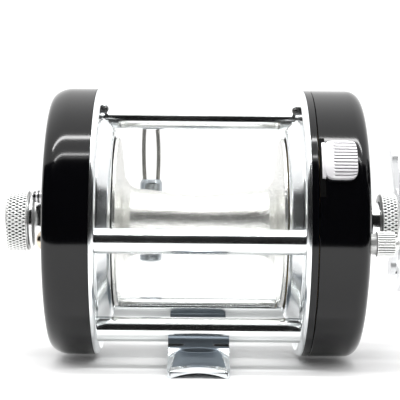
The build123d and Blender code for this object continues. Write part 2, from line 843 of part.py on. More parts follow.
def spring_washers():
    """Two dished washers back to back between the pressure disc and the bush."""
    start = main_gear_x[1] + 2.8
    washers = []
    for i in range(2):
        low = start + 0.55 * i
        bulge = 0.25 if i == 0 else -0.25
        washers.append(turned([
            (low + max(bulge, 0), drive_radius + 0.1), (low + max(-bulge, 0), 4.2),
            (low + max(-bulge, 0) + 0.28, 4.2), (low + max(bulge, 0) + 0.28, drive_radius + 0.1),
        ], drive_at))
    return group(washers)


def drive_bush():
    """Bearing tube of the drive shaft in the gear-side face."""
    shape = rod(drive_bush_radius, right_inner_x - 0.2, right_face_x + 2.4, drive_at)
    return shape - rod(drive_radius + running_gap, right_inner_x - 2, right_face_x + 4, drive_at)


def star_wheel():
    """Star drag wheel: a threaded hub and five arms that lean towards the side plate."""
    hub = rod(star_hub_radius, *star_hub_x, drive_at)
    hub += rod(4.6, star_hub_x[1], star_hub_x[1] + 1.6, drive_at)
    arms = []
    for i in range(star_arms):
        lean = math.degrees(math.atan2(star_hub_x[0] - star_tip_x - 0.2, star_radius - 4))
        arm_length = star_radius - 2.2 - 3
        plate = Pos(0, 3 + arm_length / 2, 0) * Box(1.5, arm_length, 3.4)
        tip = Pos(0, star_radius - 2.2, 0) * Rot(0, 90, 0) * Cylinder(2.4, 1.5)
        arm = Rot(0, 0, lean) * (plate + tip)
        place = Pos(star_hub_x[0] + 1.4, drive_y, drive_z) * Rot(star_arm_angle + 72 * i, 0, 0)
        arms.append(place * arm)
    wheel = hub
    for arm in arms:
        wheel += arm
    bore = rod(drive_radius + running_gap, star_tip_x - 3, star_hub_x[1] + 4, drive_at)
    return wheel - bore


def knob_centres():
    turn = math.radians(arm_angle)
    return [
        (drive_y + side * arm_reach * math.cos(turn), drive_z + side * arm_reach * math.sin(turn))
        for side in (1, -1)
    ]


def handle_arm():
    """Flat double arm, wider at its hub."""
    end = arm_reach
    radius = arm_width_end / 2
    hub = arm_width_hub / 2
    outline = Polyline(
        (-end, -radius), (-hub, -hub * 0.86), (0, -hub), (hub, -hub * 0.86), (end, -radius),
        (end, radius), (hub, hub * 0.86), (0, hub), (-hub, hub * 0.86), (-end, radius), close=True,
    )
    blank = extrude(Plane.YZ * make_face(outline), arm_x[1] - arm_x[0])
    arm = Pos(arm_x[0], drive_y, drive_z) * Rot(arm_angle, 0, 0) * blank
    for centre in knob_centres():
        arm += rod(radius, *arm_x, centre)
    for centre in knob_centres():
        arm -= rod(knob_post_radius + seat_gap, arm_x[0] - 1, arm_x[1] + 1, centre)
    slot = rod(drive_radius + seat_gap, arm_x[0] - 1, arm_x[1] + 1, drive_at)
    flats = drive_radius - 0.5 + seat_gap
    slot &= block(
        (arm_x[0] - 1, drive_y - 5, drive_z - flats), (arm_x[1] + 1, drive_y + 5, drive_z + flats)
    )
    return arm - slot


def handle_spacer():
    ends = (arm_x[0] - 1.6, arm_x[0])
    return on_drive(rod(4.6, *ends, drive_at), ends)


def handle_nut():
    """Acorn nut over the end of the drive shaft."""
    hexagon = Plane.YZ * RegularPolygon(5.0, 6)
    nut = Pos(arm_x[1], *drive_at) * extrude(hexagon, 3.6)
    nut += dome(4.0, 2.2, arm_x[1] + 3.6, drive_at)
    return nut - rod(drive_radius + seat_gap, arm_x[1] - 1, drive_end_x + 0.2, drive_at)


def knob_posts():
    """Riveted posts that the two handle knobs turn on."""
    posts = []
    for centre in knob_centres():
        body = rod(knob_post_radius, arm_x[0], knob_x[1] - 1.2, centre)
        body += dome(2.75, 1.3, arm_x[0], centre, -1)
        body += rod(3.4, arm_x[1], knob_x[0] - 0.2, centre)
        posts.append(body)
    return group(posts)


def knob(centre):
    """Waisted round knob with a running bore."""
    start, end = knob_x
    length = end - start
    bore = knob_post_radius + running_gap
    profile = [(0.0, 5.2), (0.03, 6.0), (0.3, 5.4), (0.62, 7.6), (0.8, knob_radius)]
    profile += [(0.92, knob_radius - 0.8), (0.985, knob_radius - 3.0), (1.0, 3.0)]
    points = [(start, bore)] + [(start + length * t, radius) for t, radius in profile]
    points += [(end, 0), (end - 1.0, 0), (end - 1.0, bore)]
    return turned(points, centre)


# ---- Clutch ----
def pinion():
    """Pinion with a slotted collar for the cross pin and a groove for the yoke."""
    slot_end, teeth_start, groove, flange, end = pinion_x
    half_pitch = 180 / pinion_teeth
    away = math.degrees(math.atan2(drive_z, drive_y)) + half_pitch
    body = gear(pinion_teeth, (teeth_start, groove), (0, 0), away)
    body += rod(3.0, slot_end, teeth_start)
    body += rod(2.3, groove, flange)
    body += rod(3.4, flange, end)
    body -= rod(shaft_radius + running_gap, slot_end - 1, end + 1)
    slot_half = cross_pin_radius + 0.15
    depth = cross_pin_x + cross_pin_radius + 0.15
    return body - block((slot_end - 1, -slot_half, -5), (depth, slot_half, 5))


def clutch_yoke():
    """Fork in the pinion's groove, guided on the two posts."""
    y, z = yoke_post_at
    start, end = yoke_x
    fork = block((start, y - 2.4, -z - 2.2), (end, 2.6, z + 2.2))
    fork -= block((start - 1, -2.55, -2.5), (end + 1, 5, 2.5))
    fork -= rod(2.5, start - 1, end + 1, (-0.05, 0))
    for side in (-1, 1):
        fork -= rod(yoke_post_radius + running_gap, start - 1, end + 1, (y, side * z))
    return fork


def thumb_button():
    """Curved button over the rim, its tab through the slot, and the arm that lifts the yoke."""
    inner = plate_radius + button_gap
    outer = inner + button_thickness
    tab_end = button_x[0] + tab_thickness
    pad = sector(inner, outer, *button_x, button_angles)
    edges = pad.edges().filter_by(GeomType.LINE)
    pad = fillet(edges.filter_by(lambda e: e.center().X > button_x[1] - 0.1), 0.5)
    tab = sector(bridge_radius + 0.35, outer, button_x[0], tab_end, button_angles)
    middle = sum(button_angles) / 2
    narrow = (middle - 3.5, middle + 3.5)
    arm_start = bridge_x[1] + 0.9
    link = sector(bridge_radius + 0.35, cover_bore_radius - 0.9, button_x[0], arm_start + 1, narrow)
    arm = sector(7.4, cover_bore_radius - 0.9, arm_start, arm_start + 1.0, narrow)
    ramp = sector(7.4, 10.0, arm_start, yoke_x[0] - 0.25, narrow)
    return pad + tab + link + arm + ramp


def dog_post_centre():
    turn = math.radians(-100)
    return (drive_y + 12.4 * math.cos(turn), drive_z + 12.4 * math.sin(turn))


def ratchet_dog():
    """Anti-reverse dog beside the ratchet wheel."""
    centre = dog_post_centre()
    start, end = ratchet_x
    body = rod(2.0, start, end, centre)
    reach = math.radians(125)
    tip = (centre[0] + 4.3 * math.cos(reach), centre[1] + 4.3 * math.sin(reach))
    blade = make_face(Polyline(
        (centre[0] - 1.9, centre[1] - 0.6), (centre[0] + 1.2, centre[1] + 1.4),
        (tip[0] + 0.5, tip[1] + 0.1), (tip[0] - 0.5, tip[1] - 0.3), close=True,
    ))
    body += Pos(start, 0, 0) * extrude(Plane.YZ * blade, end - start)
    return body - rod(dog_post_radius + running_gap, start - 1, end + 1, centre)


# ---- Level wind ----
def worm_shaft():
    """Worm with crossing grooves, a spigot at each end and a seat for its gear."""
    groove_x = carriage_half_travel + 1.5
    shaft = rod(worm_radius, -groove_x - 1.5, groove_x + 1.5, worm_at)
    shaft += rod(worm_end_radius, -web_back_x - 0.6, worm_drive_x[1] + 0.3, worm_at)
    turns = int(2 * groove_x / worm_pitch)
    lean = math.degrees(math.atan2(worm_pitch / 2, 2 * worm_radius))
    ring = tube(worm_radius + 1, worm_radius - worm_groove, -0.45, 0.45)
    for i in range(turns + 1):
        x = -groove_x + worm_pitch * (i + 0.5) * 2 * groove_x / (worm_pitch * (turns + 1))
        for side in (-1, 1):
            shaft -= Pos(x, *worm_at) * Rot(0, side * lean, 0) * ring
    return shaft


def worm_bushes():
    """Bearings of the worm shaft in the left disc and in the gear bridge."""
    bore = worm_end_radius + running_gap
    right = tube(worm_bush_radius, bore, bridge_x[0], bridge_x[1] + 0.15, worm_at)
    end = tube(shield_bore - seat_gap, bore, -web_back_x, -web_x + 1.2, worm_at)
    return group([end, right])


def worm_gear():
    half_pitch = 180 / worm_gear_teeth
    ends = worm_drive_x
    wheel = gear(worm_gear_teeth, ends, worm_at, worm_turn + 180 + half_pitch)
    return wheel - rod(worm_end_radius + seat_gap, ends[0] - 1, ends[1] + 1, worm_at)


def carriage():
    """Line carrier: an upright barrel with a cross bore that slides on the shield tube."""
    x = carriage_rest_x
    half = carriage_post_radius
    body = post(half, carriage_bottom_z, carriage_top_z, (x, worm_y))
    body += rod(carriage_boss_radius, x - half, x + half, worm_at)
    body -= rod(shield_radius + running_gap, x - 10, x + 10, worm_at)
    body -= post(pawl_radius + running_gap, carriage_bottom_z - 1, worm_z, (x, worm_y))
    for side in (-1, 1):
        foot = (x + side * wire_spread, worm_y)
        body -= post(wire_radius + seat_gap, carriage_top_z - 1.6, carriage_top_z + 1, foot)
    return body


def pawl():
    """Pawl that rides in the worm's groove, free to swivel in the carriage."""
    top = worm_z - shield_radius
    body = post(pawl_radius, carriage_bottom_z + 0.1, top + 0.5, (carriage_rest_x, worm_y))
    tip_top = worm_z - worm_radius - 0.1
    blade = block(
        (carriage_rest_x - 0.35, worm_y - 1.0, top), (carriage_rest_x + 0.35, worm_y + 1.0, tip_top)
    )
    return body + blade


def pawl_cap():
    """Domed cap nut under the carriage that keeps the pawl in."""
    radius = carriage_post_radius
    cap = turned([(0, 0), (0, radius), (0.6, radius), (1.3, radius - 0.9), (1.6, 0)])
    return Pos(carriage_rest_x, worm_y, carriage_bottom_z) * Rot(0, 90, 0) * cap


def guide_wires():
    """Bowed stainless loop that leans back to the top pillar."""
    x = carriage_rest_x
    low = carriage_top_z - 1.6
    rise = wire_top - carriage_top_z

    def spot(offset, share):
        back = wire_lean * share ** 1.5
        return (x + offset, worm_y - back, carriage_top_z + rise * share)

    right = [spot(wire_spread + 0.3, 0.5), spot(wire_spread + 0.05, 0.86)]
    points = [(x + wire_spread, worm_y, carriage_top_z)] + right + [spot(0, 1.0)]
    points += [(2 * x - px, py, pz) for px, py, pz in reversed(points[:-1])]
    loop = Spline(*points, tangents=[(0, 0, 1), (0, 0, -1)])
    start = Line((points[0][0], worm_y, low), points[0])
    finish = Line(points[-1], (points[-1][0], worm_y, low))
    path = Wire([start.edge(), loop.edge(), finish.edge()])
    section = Plane(origin=path @ 0, z_dir=path % 0) * Circle(wire_radius)
    return sweep(section, path=path)


# ---- Click ----
def click_button():
    """Ribbed click button with its stem, arm and tooth over the click wheel."""
    outward = click_direction()
    start = left_face_x + 0.1
    ribs = [(start, 0)]
    for i in range(3):
        low = start + click_height * i / 3
        radius = click_radius * (1 - 0.14 * i)
        ribs += [(low, radius), (low + 0.75, radius), (low + 0.8, radius - 0.3)]
        ribs += [(low + click_height / 3 - 0.05, radius - 0.3)]
    ribs += [(start + click_height, 0)]
    button = turned(ribs, click_at)
    button += rod(click_stem_radius, left_inner_x - 1.6, start + 0.3, click_at)
    tip_radius = click_wheel_radius + 0.4
    rest = math.hypot(*click_at)
    turn = math.degrees(math.atan2(outward[1], outward[0]))
    arm = block((left_inner_x - 2.4, tip_radius, -1.6), (left_inner_x - 1.4, rest + 1.4, 1.6))
    tooth = block(
        (click_wheel_x[0] + 0.1, tip_radius, -0.5), (left_inner_x - 1.4, tip_radius + 1.6, 0.5)
    )
    swing = Rot(turn, 0, 0)
    return left(button + swing * arm + swing * tooth)


thumb_screws = {
    "thumb_screw_1": thumb_screw(thumb_screw_centres[0]),
    "take_apart_screw_2": low_screw(thumb_screw_centres[1]),
    "take_apart_screw_3": low_screw(thumb_screw_centres[2]),
}
knobs = {f"handle_knob_{i + 1}": knob(c) for i, c in enumerate(knob_centres())}

parts = {
    "left_frame_disc": left(frame_disc()),
    "right_frame_disc": right_disc(),
    "rear_pillar": pillar(*pillar_centres["rear"]),
    "lower_rear_pillar": riveted(pillar(*pillar_centres["lower_rear"]), lower_rear_at),
    "lower_front_pillar": riveted(pillar(*pillar_centres["lower_front"]), lower_front_at),
    "top_pillar": pillar(*pillar_centres["top"]),
    "frame_screws": frame_screws(),
    "worm_shield": worm_shield(),
    "reel_foot": reel_foot(),
    "foot_rivets": foot_rivets(),
    "left_side_plate": left_side_plate(),
    "left_boss": left_boss(),
    "left_plate_screws": cover_screws(),
    "click_backing_ring": click_pivot_plate(),
    "shaft_bushes": shaft_bushes(),
    "right_ring": right_ring(),
    "gear_bridge": gear_bridge(),
    "right_side_plate": right_side_plate(),
    "right_boss": right_boss(),
    "drive_bush": drive_bush(),
    "bridge_screws": bridge_screws(),
    "bridge_posts": bridge_posts(),
    "yoke_springs": yoke_springs(),
    "brake_ring": brake_ring(),
    "worm_bushes": worm_bushes(),
    "spool": spool(),
    "spool_shaft": spool_shaft(),
    "shaft_pin": shaft_pin(),
    "click_wheel": click_wheel(),
    "brake_blocks": brake_blocks(),
    "drive_shaft": drive_shaft(),
    "main_gear": main_gear(),
    "worm_drive_gear": worm_drive_gear(),
    "ratchet_wheel": ratchet_wheel(),
    "drag_washers": drag_washers(),
    "pressure_disc": pressure_disc(),
    "spring_washers": spring_washers(),
    "handle_spacer": handle_spacer(),
    "handle_arm": handle_arm(),
    "handle_nut": handle_nut(),
    "knob_posts": knob_posts(),
    "star_wheel": star_wheel(),
    "pinion": pinion(),
    "clutch_yoke": clutch_yoke(),
    "thumb_button": thumb_button(),
    "ratchet_dog": ratchet_dog(),
    "worm_shaft": worm_shaft(),
    "worm_gear": worm_gear(),
    "line_carriage": carriage(),
    "guide_wires": guide_wires(),
    "pawl": pawl(),
    "pawl_cap": pawl_cap(),
    "click_button": click_button(),
    "left_bearing_cap": left(bearing_cap(left_cap_x, left_cap_knurl_length)),
    "right_bearing_cap": bearing_cap(right_cap_x, right_cap_knurl_length),
    **thumb_screws,
    **knobs,
}

os.makedirs("parts", exist_ok=True)
lift = Pos(0, 0, axis_height)
for name, shape in parts.items():
    solids = [lift * solid for solid in shape.solids()]
    node = solids[0] if len(solids) == 1 else Compound(children=solids)
    export_step(node, f"parts/{name}.step")
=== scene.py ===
# %% [markdown]
# # A round level-wind reel in polished chrome and black lacquer
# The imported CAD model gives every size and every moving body. This lesson dresses it: turned
# metal is worked out again as smooth surfaces, the grips get their knurling, every finish is
# built from shader nodes, and the reel is set on a white table under soft light.
# Lengths are written in millimetres, as in the workshop, and become metres in the mesh.

# %% Load the frame
import math

import bmesh
import bpy
import numpy as np
from mathutils import Euler, Matrix


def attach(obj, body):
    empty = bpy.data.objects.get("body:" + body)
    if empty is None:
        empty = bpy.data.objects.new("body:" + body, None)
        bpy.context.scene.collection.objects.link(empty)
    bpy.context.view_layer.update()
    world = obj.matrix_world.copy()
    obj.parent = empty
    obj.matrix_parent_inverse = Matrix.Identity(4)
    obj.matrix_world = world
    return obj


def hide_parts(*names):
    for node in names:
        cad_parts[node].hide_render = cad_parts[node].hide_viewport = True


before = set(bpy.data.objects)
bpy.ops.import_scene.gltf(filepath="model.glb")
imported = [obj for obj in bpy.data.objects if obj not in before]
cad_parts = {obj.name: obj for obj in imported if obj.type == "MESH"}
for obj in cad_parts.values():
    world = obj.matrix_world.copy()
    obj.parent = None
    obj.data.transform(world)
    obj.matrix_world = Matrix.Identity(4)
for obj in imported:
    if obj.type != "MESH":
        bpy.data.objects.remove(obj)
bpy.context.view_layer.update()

# %% [markdown]
# ## Sizes
# The spool axis runs along X, 34.2 mm above the table. Everything round is described by pairs
# (x, radius), as on a lathe drawing. The click side is the mirror image of the gear side.

# %% Main sizes
MM = 0.001
AXIS_Z = 34.2
PLATE_R = 33.0
LEFT_FACE = 36.3
RIGHT_FACE = 39.1
DRIVE = (16.6805, 2.0)
WORM = (27.084, -0.9)
CARRIAGE_X = -12.9
CAP_R, CAP_BORE = 7.55, 5.65
CLICK = (-13.0, 6.4)
COVER_SCREW_CIRCLE, COVER_SCREW_R = 20.3, 2.3
THUMB_SCREW_CIRCLE, THUMB_SCREW_TURN = 26.0, -7.6
KNOB_REACH, ARM_TURN = 45.0, -25.4
WIRE_R = 0.55
FOOT_END, FOOT_ARCH = 31.0, 1.25
FOOT_HALF, FOOT_TIP_HALF = 7.2, 6.4
SADDLE_LIFT = 0.03
FRONT_SADDLE, REAR_SADDLE = 19.2, 20.7
LENS_HALF = 4.6
TURN = 2 * math.pi
print("side plates", 2 * PLATE_R, "mm across")

# %% [markdown]
# ## Surfaces on a grid
# A surface is an array of points with two indices. Neighbouring points make four-sided faces,
# and the array may close on itself in either direction. Points that fall together, as at the
# middle of a dome, are merged, and then the normals are made to point outwards.


# %% From a grid to an object
def skin(name, grid, wrap_rows=False, wrap_columns=True, sharp=38.0, pit=None):
    """Mesh object from a grid of points in millimetres, shape (rows, columns, 3).

    pit says how deep each point lies in a groove, or marks the foot's uncut middle, from 0 to 1. A
    finish reads it as an attribute and darkens the base colour there: painted shade in grooves, a
    painted dark reflection on the foot.
    """
    rows, columns = grid.shape[:2]
    index = np.arange(rows * columns).reshape(rows, columns)
    if wrap_rows:
        index = np.vstack([index, index[:1]])
    if wrap_columns:
        index = np.hstack([index, index[:, :1]])
    corners = (index[:-1, :-1], index[1:, :-1], index[1:, 1:], index[:-1, 1:])
    faces = np.stack(corners, axis=-1).reshape(-1, 4)
    points = grid.reshape(-1, 3) * MM
    mesh = bpy.data.meshes.new(name)
    mesh.from_pydata(points.tolist(), [], faces.tolist())
    if pit is not None:
        mesh.attributes.new("pit", "FLOAT", "POINT").data.foreach_set("value", pit.ravel())
    return finished(name, mesh, sharp)


def finished(name, mesh, sharp):
    """Merge doubles, turn the faces outwards, shade smooth with crisp edges, and link."""
    shell = bmesh.new()
    shell.from_mesh(mesh)
    bmesh.ops.remove_doubles(shell, verts=shell.verts, dist=2e-7)
    bmesh.ops.dissolve_degenerate(shell, edges=shell.edges, dist=1e-8)
    bmesh.ops.recalc_face_normals(shell, faces=shell.faces)
    shell.to_mesh(mesh)
    shell.free()
    mesh.shade_smooth()
    mesh.set_sharp_from_angle(angle=math.radians(sharp))
    piece = bpy.data.objects.new(name.replace(" ", "_"), mesh)
    bpy.context.scene.collection.objects.link(piece)
    return piece


def soften(outline, size, steps=5, loop=False):
    """Round the corners of a polyline of (x, radius) pairs.

    Each corner becomes a parabola between points at `size` before and after it, held by one
    more point on each side so that long flat faces keep a true normal.
    """
    points = np.asarray(outline, float)
    before, after = np.roll(points, 1, axis=0), np.roll(points, -1, axis=0)
    back, on = before - points, after - points
    back_length = np.linalg.norm(back, axis=1, keepdims=True)
    on_length = np.linalg.norm(on, axis=1, keepdims=True)
    reach = np.minimum(size, 0.38 * np.minimum(back_length, on_length))
    start = points + back / back_length * reach
    end = points + on / on_length * reach
    t = np.linspace(0, 1, steps)[:, None, None]
    curve = (1 - t) ** 2 * start + 2 * t * (1 - t) * points + t ** 2 * end
    held = np.concatenate([
        (points + back / back_length * reach * 1.2)[None], curve,
        (points + on / on_length * reach * 1.2)[None],
    ])
    smooth = held.transpose(1, 0, 2)
    if loop:
        return smooth.reshape(-1, 2)
    inner = smooth[1:-1].reshape(-1, 2)
    return np.vstack([points[:1], inner, points[-1:]])


def turned(name, outline, centre=(0.0, 0.0), side=1, sides=192, loop=False, carve=None, sharp=38.0):
    """Surface of revolution: (x, radius) carried round the X line through centre.

    carve(x, angle) is a depth that is taken off the radius, for knurls and teeth.
    """
    outline = np.asarray(outline, float)
    x = outline[:, 0][:, None] + np.zeros(sides)
    angle = np.linspace(0, TURN, sides, endpoint=False) + np.zeros_like(x)
    radius = outline[:, 1][:, None] + np.zeros(sides)
    pit = None
    if carve is not None:
        depth = carve(x, angle)
        radius = radius - depth
        pit = depth / depth.max()
    grid = np.stack([
        side * x, centre[0] + radius * np.cos(angle), AXIS_Z + centre[1] + radius * np.sin(angle),
    ], axis=-1)
    return skin(name, grid, wrap_rows=loop, sharp=sharp, pit=pit)


def upright(name, outline, at, sides=72):
    """Surface of revolution round a vertical line: (height above the axis, radius) pairs."""
    outline = np.asarray(outline, float)
    angle = np.linspace(0, TURN, sides, endpoint=False)
    height, radius = outline[:, :1] + np.zeros(sides), outline[:, 1:]
    grid = np.stack([
        at[0] + radius * np.cos(angle), at[1] + radius * np.sin(angle), AXIS_Z + height,
    ], axis=-1)
    return skin(name, grid)


def swept(name, path, radius, aside, sides=20):
    """Round bar along a path of points. Its section lies in the plane across the tangent."""
    path = np.asarray(path, float)
    tangent = np.gradient(path, axis=0)
    tangent /= np.linalg.norm(tangent, axis=1, keepdims=True)
    aside = np.asarray(aside, float)
    first = aside - (tangent @ aside)[:, None] * tangent
    first /= np.linalg.norm(first, axis=1, keepdims=True)
    second = np.cross(tangent, first)
    angle = np.linspace(0, TURN, sides, endpoint=False)[None, :, None]
    around = np.cos(angle) * first[:, None] + np.sin(angle) * second[:, None]
    ring = path[:, None] + radius * around
    caps = [np.repeat(path[i][None, None], sides, axis=1) for i in (0, -1)]
    grid = np.concatenate([caps[0], ring, caps[1]])
    grid[..., 2] += AXIS_Z
    return skin(name, grid)


def dressed(piece, body, finish, *nodes):
    """Put a finish on a piece, fix it to its body and let it stand for its CAD nodes."""
    piece.data.materials.append(finish)
    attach(piece, body)
    if nodes:
        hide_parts(*nodes)
    return piece


# %% [markdown]
# ## Shader arithmetic
# A finish is a small sum: a base roughness plus smears, a height made from grain. Writing such
# sums node by node is slow to read, so a signal wraps a socket and Python's own operators add
# the Math nodes.


# %% Signals and finishes
class Signal:
    """A number that varies over a surface."""

    def __init__(self, finish, socket):
        self.finish = finish
        self.socket = socket

    def math(self, operation, *others):
        settings = {"operation": operation}
        values = dict(enumerate((self, *others)))
        return self.finish.node("ShaderNodeMath", settings, values)

    def __add__(self, other):
        return self.math("ADD", other)

    __radd__ = __add__

    def __mul__(self, other):
        return self.math("MULTIPLY", other)

    __rmul__ = __mul__

    def __sub__(self, other):
        return self.math("SUBTRACT", other)

    def __rsub__(self, other):
        return self * -1.0 + other

    def between(self, low, high):
        """0 below low, 1 above high, eased between."""
        settings = {"interpolation_type": "SMOOTHSTEP"}
        return self.finish.node("ShaderNodeMapRange", settings, {0: self, 1: low, 2: high})


class Finish:
    """A Principled material whose varying inputs are signals on Object coordinates."""

    def __init__(self, name, color, rough, metal=0.0, **constants):
        self.material = bpy.data.materials.new(name)
        self.material.use_nodes = True
        self.tree = self.material.node_tree
        self.shader = self.tree.nodes["Principled BSDF"]
        self.place = self.tree.nodes.new("ShaderNodeTexCoord").outputs["Object"]
        self.feed(self.shader, {"Base Color": (*color, 1.0), "Roughness": rough, "Metallic": metal})
        self.feed(self.shader, {key.replace("_", " "): value for key, value in constants.items()})

    def feed(self, node, values):
        for key, value in values.items():
            if isinstance(value, Signal):
                self.tree.links.new(value.socket, node.inputs[key])
            else:
                node.inputs[key].default_value = value

    def node(self, kind, settings, values, output=0):
        node = self.tree.nodes.new(kind)
        for key, value in settings.items():
            setattr(node, key, value)
        self.feed(node, values)
        return Signal(self, node.outputs[output])

    def grain(self, size, detail=2.0, stretch=(1.0, 1.0, 1.0)):
        """Noise whose blobs are about `size` millimetres, between 0 and 1."""
        scale = tuple(1.0 / (size * MM * part) for part in stretch)
        values = {"Vector": Signal(self, self.place), "Scale": scale}
        spot = self.node("ShaderNodeMapping", {}, values)
        return self.node("ShaderNodeTexNoise", {}, {"Vector": spot, "Scale": 1.0, "Detail": detail})

    def tint(self, mask, dark, light):
        """Base colour between two colours by a mask."""
        values = {0: mask, 6: (*dark, 1.0), 7: (*light, 1.0)}
        mixed = self.node("ShaderNodeMix", {"data_type": "RGBA"}, values, output=2)
        self.feed(self.shader, {"Base Color": mixed})

    def pit(self):
        """The pit attribute, from 0 to 1: depth in a groove, or the foot's uncut middle. It drives
        painted shade.
        """
        return self.node("ShaderNodeAttribute", {"attribute_name": "pit"}, {}, output=2)

    def rough(self, signal):
        self.feed(self.shader, {"Roughness": signal})

    def relief(self, height, depth):
        """Bump of a given depth in millimetres."""
        values = {"Height": height, "Distance": depth * MM, "Strength": 1.0}
        bump = self.node("ShaderNodeBump", {}, values)
        self.feed(self.shader, {"Normal": bump})


# %% [markdown]
# ## The finishes
# Plated chrome is nearly a mirror. What makes it real is a little haze: wiped smears change its
# roughness, and the plating has a faint long wave. Lacquer is black under a clear coat with fine
# orange peel. The spool is bead-blasted aluminium, a fine even grain that scatters the light.


# %% Chrome, lacquer, aluminium, steel, brass and moulded black
def chrome(name, color, haze, wave=0.0012):
    finish = Finish(name, color, haze, metal=1.0)
    smear = finish.grain(5.0, 4.0, (2.4, 1.0, 1.0)).between(0.42, 0.72)
    fine = finish.grain(0.25, 1.0)
    finish.rough(haze + smear * 0.05 + fine * 0.02)
    finish.relief(finish.grain(6.0, 1.0) + fine * 0.04, wave)
    finish.tint(smear, color, tuple(0.95 * part for part in color))
    return finish.material


def lacquer():
    finish = Finish(
        "Black lacquer", (0.001, 0.001, 0.0014), 0.3, Coat_Weight=1.0, Coat_Roughness=0.1,
        Coat_IOR=1.42, Specular_IOR_Level=0.0,
    )
    dust = finish.grain(0.35, 2.0).between(0.74, 0.80)
    finish.tint(dust, (0.001, 0.001, 0.0014), (0.03, 0.03, 0.03))
    finish.rough(0.2 + dust * 0.3)
    finish.relief(finish.grain(1.4, 1.0), 0.0006)
    return finish.material


def blasted():
    finish = Finish("Bead-blasted aluminium", (0.95, 0.95, 0.93), 0.3, metal=0.9)
    pits = finish.grain(0.3, 2.0)
    coarse = finish.grain(0.55, 2.0)
    finish.tint(pits.between(0.4, 0.58), (0.66, 0.66, 0.63), (0.97, 0.97, 0.94))
    finish.rough(0.18 + pits * 0.12)
    finish.relief(pits + coarse * 0.5, 0.085)
    return finish.material


def machined(name, color, haze, lay=(12.0, 1.0, 1.0)):
    """Ground or turned metal with fine lines along one direction."""
    finish = Finish(name, color, haze, metal=1.0)
    lines = finish.grain(0.12, 2.0, lay)
    finish.rough(haze + lines * 0.12)
    finish.relief(lines, 0.004)
    finish.tint(finish.grain(3.0).between(0.3, 0.7), color, tuple(0.8 * part for part in color))
    return finish.material


def moulded(name, color, shine=0.5):
    finish = Finish(name, color, 0.45, Specular_IOR_Level=shine)
    leather = finish.grain(0.3, 3.0)
    finish.rough(0.38 + leather * 0.16)
    finish.relief(leather, 0.02)
    finish.tint(finish.grain(4.0).between(0.35, 0.7), color, tuple(1.6 * part for part in color))
    return finish.material


def shade_painted_chrome(name, light, dark, haze, metal):
    """Chrome with painted shade: the base colour goes dark, and roughness rises, where the pit
    attribute is high.
    """
    finish = Finish(name, light, haze, metal=metal)
    depth = finish.pit().between(0.15, 0.7)
    finish.tint(depth, light, dark)
    finish.rough(haze + depth * 0.3 + finish.grain(0.3) * 0.05)
    return finish.material


chrome_frame = chrome("Frame chrome", (0.88, 0.90, 0.90), 0.12)
chrome_dish = chrome("Dish chrome", (0.88, 0.90, 0.91), 0.16, 0.004)
chrome_boss = chrome("Boss chrome", (0.9, 0.905, 0.91), 0.1)
chrome_guide = chrome("Guide chrome", (0.42, 0.45, 0.47), 0.22)
# Foot chrome: the base colour darkens to a painted dark reflection where the pit attribute marks
# the foot's uncut middle.
chrome_foot = shade_painted_chrome("Foot chrome", (0.7, 0.73, 0.75), (0.17, 0.2, 0.23), 0.12, 1.0)
chrome_arm = chrome("Handle chrome", (0.72, 0.73, 0.74), 0.14)
worn_chrome = chrome("Rivet chrome", (0.6, 0.62, 0.64), 0.14)
chrome_star = chrome("Star chrome", (0.95, 0.96, 0.97), 0.5)
# Grip chrome: the knurl pits are darkened to near black as painted shade, read from the pit
# attribute.
chrome_knurl = shade_painted_chrome("Grip chrome", (0.93, 0.935, 0.92), (0.05, 0.055, 0.055), 0.3, 0.75)
# Button chrome: the grooves between the ridges are darkened as painted shade, read from the pit
# attribute.
chrome_satin = shade_painted_chrome("Button chrome", (0.76, 0.75, 0.77), (0.12, 0.11, 0.12), 0.3, 0.6)
black_lacquer = lacquer()
spool_metal = blasted()
ground_steel = machined("Ground steel", (0.5, 0.5, 0.49), 0.2)
wire_steel = machined("Wire steel", (0.36, 0.35, 0.33), 0.22, (1.0, 1.0, 8.0))
dark_steel = machined("Blued steel", (0.12, 0.12, 0.12), 0.22)
brass = machined("Machined brass", (0.78, 0.58, 0.3), 0.22)
screw_brass = machined("Brass-tinted screw", (0.7, 0.6, 0.48), 0.16)
black_grip = moulded("Moulded grip", (0.016, 0.016, 0.017))
gap_black = moulded("Shadow gap", (0.002, 0.002, 0.002), 0.05)
print("finishes:", len(bpy.data.materials))

# %% [markdown]
# ## Every CAD node gets a finish
# Pieces that are worked out again below cover their nodes. The others keep the CAD mesh and only
# need the right metal.

# %% Finishes by node
node_finish = {
    chrome_dish: "left_frame_disc right_frame_disc",
    chrome_frame: """rear_pillar lower_rear_pillar top_pillar lower_front_pillar worm_shield
        take_apart_screw_2 take_apart_screw_3""",
    chrome_arm: "handle_arm handle_nut handle_spacer knob_posts",
    chrome_boss: "left_boss right_boss drive_bush",
    chrome_guide: "line_carriage pawl_cap",
    chrome_star: "star_wheel",
    chrome_foot: "reel_foot",
    worn_chrome: "foot_rivets",
    chrome_knurl: "left_bearing_cap right_bearing_cap thumb_screw_1",
    chrome_satin: "thumb_button click_button",
    black_lacquer: "left_side_plate right_side_plate right_ring",
    spool_metal: "spool",
    ground_steel: """spool_shaft shaft_pin drive_shaft worm_shaft bridge_posts ratchet_dog
        ratchet_wheel pressure_disc spring_washers yoke_springs click_backing_ring clutch_yoke
        pawl click_wheel brake_ring""",
    wire_steel: "guide_wires",
    dark_steel: "frame_screws bridge_screws",
    brass: """main_gear worm_drive_gear worm_gear pinion shaft_bushes worm_bushes
        gear_bridge""",
    screw_brass: "left_plate_screws",
    black_grip: "handle_knob_1 handle_knob_2 drag_washers brake_blocks",
}
for material, names in node_finish.items():
    for node in names.split():
        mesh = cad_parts[node].data
        mesh.materials.clear()
        mesh.materials.append(material)
dressed_nodes = {node for names in node_finish.values() for node in names.split()}
